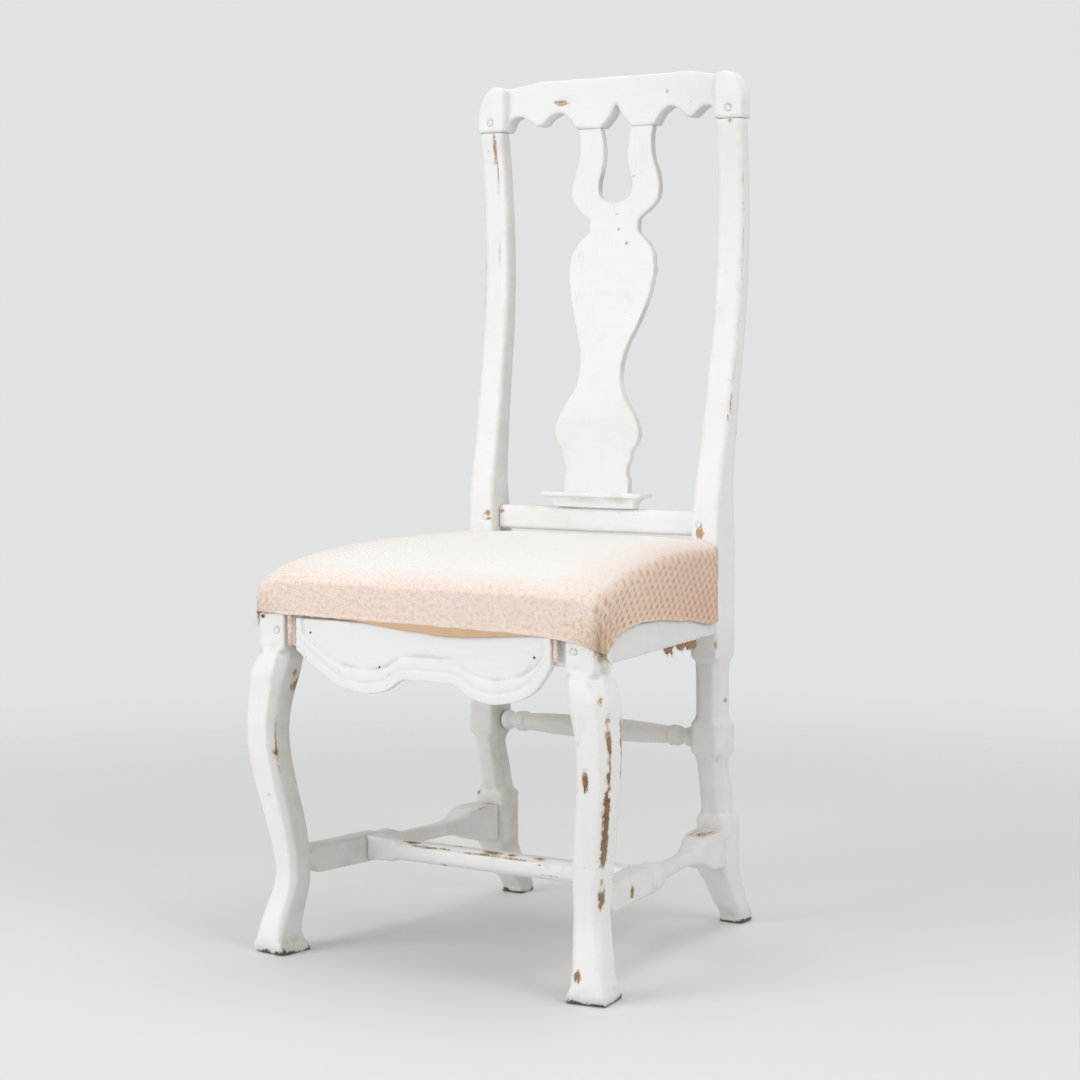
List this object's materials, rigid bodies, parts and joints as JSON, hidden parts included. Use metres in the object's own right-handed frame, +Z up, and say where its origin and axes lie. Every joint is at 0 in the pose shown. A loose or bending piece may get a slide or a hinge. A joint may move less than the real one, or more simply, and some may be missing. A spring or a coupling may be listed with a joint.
{
  "type": "side chair",
  "caption": "White-painted wooden side chair with a pierced splat back, curved front legs, a shaped apron, low stretchers and a worn peach cloth seat; the paint is chipped and grimy",
  "frame": {"origin": "centre of the chair's box on the floor, under the seat", "axes": "+X to the sitter's left-hand side as seen from the front (the chair's right when looking at its front), +Y from the front of the seat to the back, +Z up along the back"},
  "size_m": [0.5364, 0.5116, 1.13],
  "materials": {
    "painted_wood": "worn, chipped matt paint",
    "peg_wood": "rubbed paint over end grain",
    "nail_iron": "rusted",
    "webbing": "dusty jute",
    "hessian": "coarse open weave",
    "stuffing": "packed fibre",
    "old_cover": "faded plain weave",
    "seat_cloth": "worn coarse weave"
  },
  "bodies": {
    "root": {"left_back_post": "painted_wood", "right_back_post": "painted_wood", "crest_rail": "painted_wood", "back_splat": "painted_wood", "splat_shoe": "painted_wood", "lower_back_rail": "painted_wood", "rear_seat_rail": "painted_wood", "left_seat_rail": "painted_wood", "right_seat_rail": "painted_wood", "front_seat_rail": "painted_wood", "front_apron": "painted_wood", "left_front_leg": "painted_wood", "right_front_leg": "painted_wood", "left_stretcher": "painted_wood", "right_stretcher": "painted_wood", "cross_stretcher": "painted_wood", "turned_stretcher": "painted_wood", "crest_pegs": "peg_wood", "back_rail_pegs": "peg_wood", "seat_rail_pegs": "peg_wood", "stretcher_pegs": "peg_wood", "apron_nails": "nail_iron", "seat_webbing": "webbing", "webbing_tacks": "nail_iron", "seat_hessian": "hessian", "seat_stuffing": "stuffing", "under_cover": "old_cover", "seat_cover": "seat_cloth", "cover_tabs": "seat_cloth", "torn_hessian": "hessian"}
  },
  "joints": []
}
